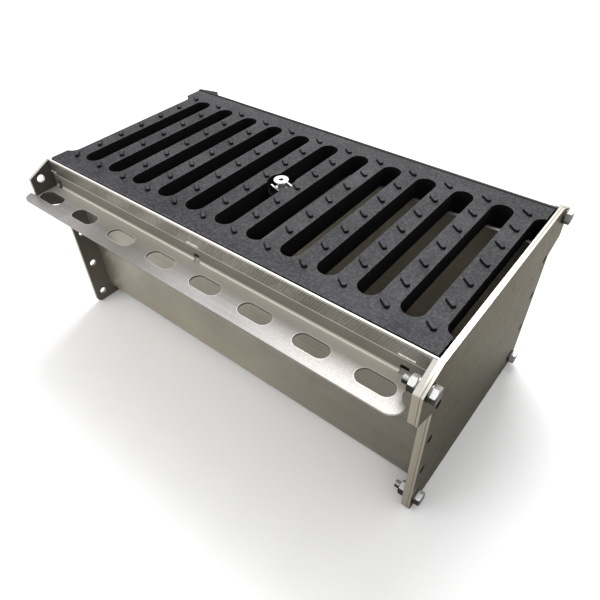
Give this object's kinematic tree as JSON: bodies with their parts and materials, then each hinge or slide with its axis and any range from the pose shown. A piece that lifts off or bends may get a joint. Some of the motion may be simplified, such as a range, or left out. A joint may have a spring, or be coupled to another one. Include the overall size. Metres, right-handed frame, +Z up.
{
  "type": "channel drain",
  "caption": "Folded steel drainage channel section with rimmed seat, slotted anchor strips, bolted end plate and a locked slotted cast grating with tread studs.",
  "frame": {"origin": "centre of the trough's flat underside, halfway along the folded channel", "axes": "+X along the channel towards the closed end, +Y across to the rear, +Z up to the grating"},
  "size_m": [0.5179, 0.326, 0.2245],
  "materials": {
    "trough_steel": "satin",
    "plate_steel": "satin",
    "grating_iron": "matte",
    "zinc_fasteners": "satin"
  },
  "bodies": {
    "root": {"channel_body": "trough_steel", "front_anchor_strip": "trough_steel", "rear_anchor_strip": "trough_steel", "left_front_flange": "plate_steel", "left_rear_flange": "plate_steel", "right_front_flange": "plate_steel", "right_rear_flange": "plate_steel", "end_plate": "plate_steel", "grating": "grating_iron", "end_screws": "zinc_fasteners", "end_head_washers": "zinc_fasteners", "end_nut_washers": "zinc_fasteners", "end_nuts": "zinc_fasteners", "lock_screw": "zinc_fasteners", "lock_saddle": "zinc_fasteners", "lock_nut": "zinc_fasteners", "lock_crossbar": "zinc_fasteners"}
  },
  "joints": []
}
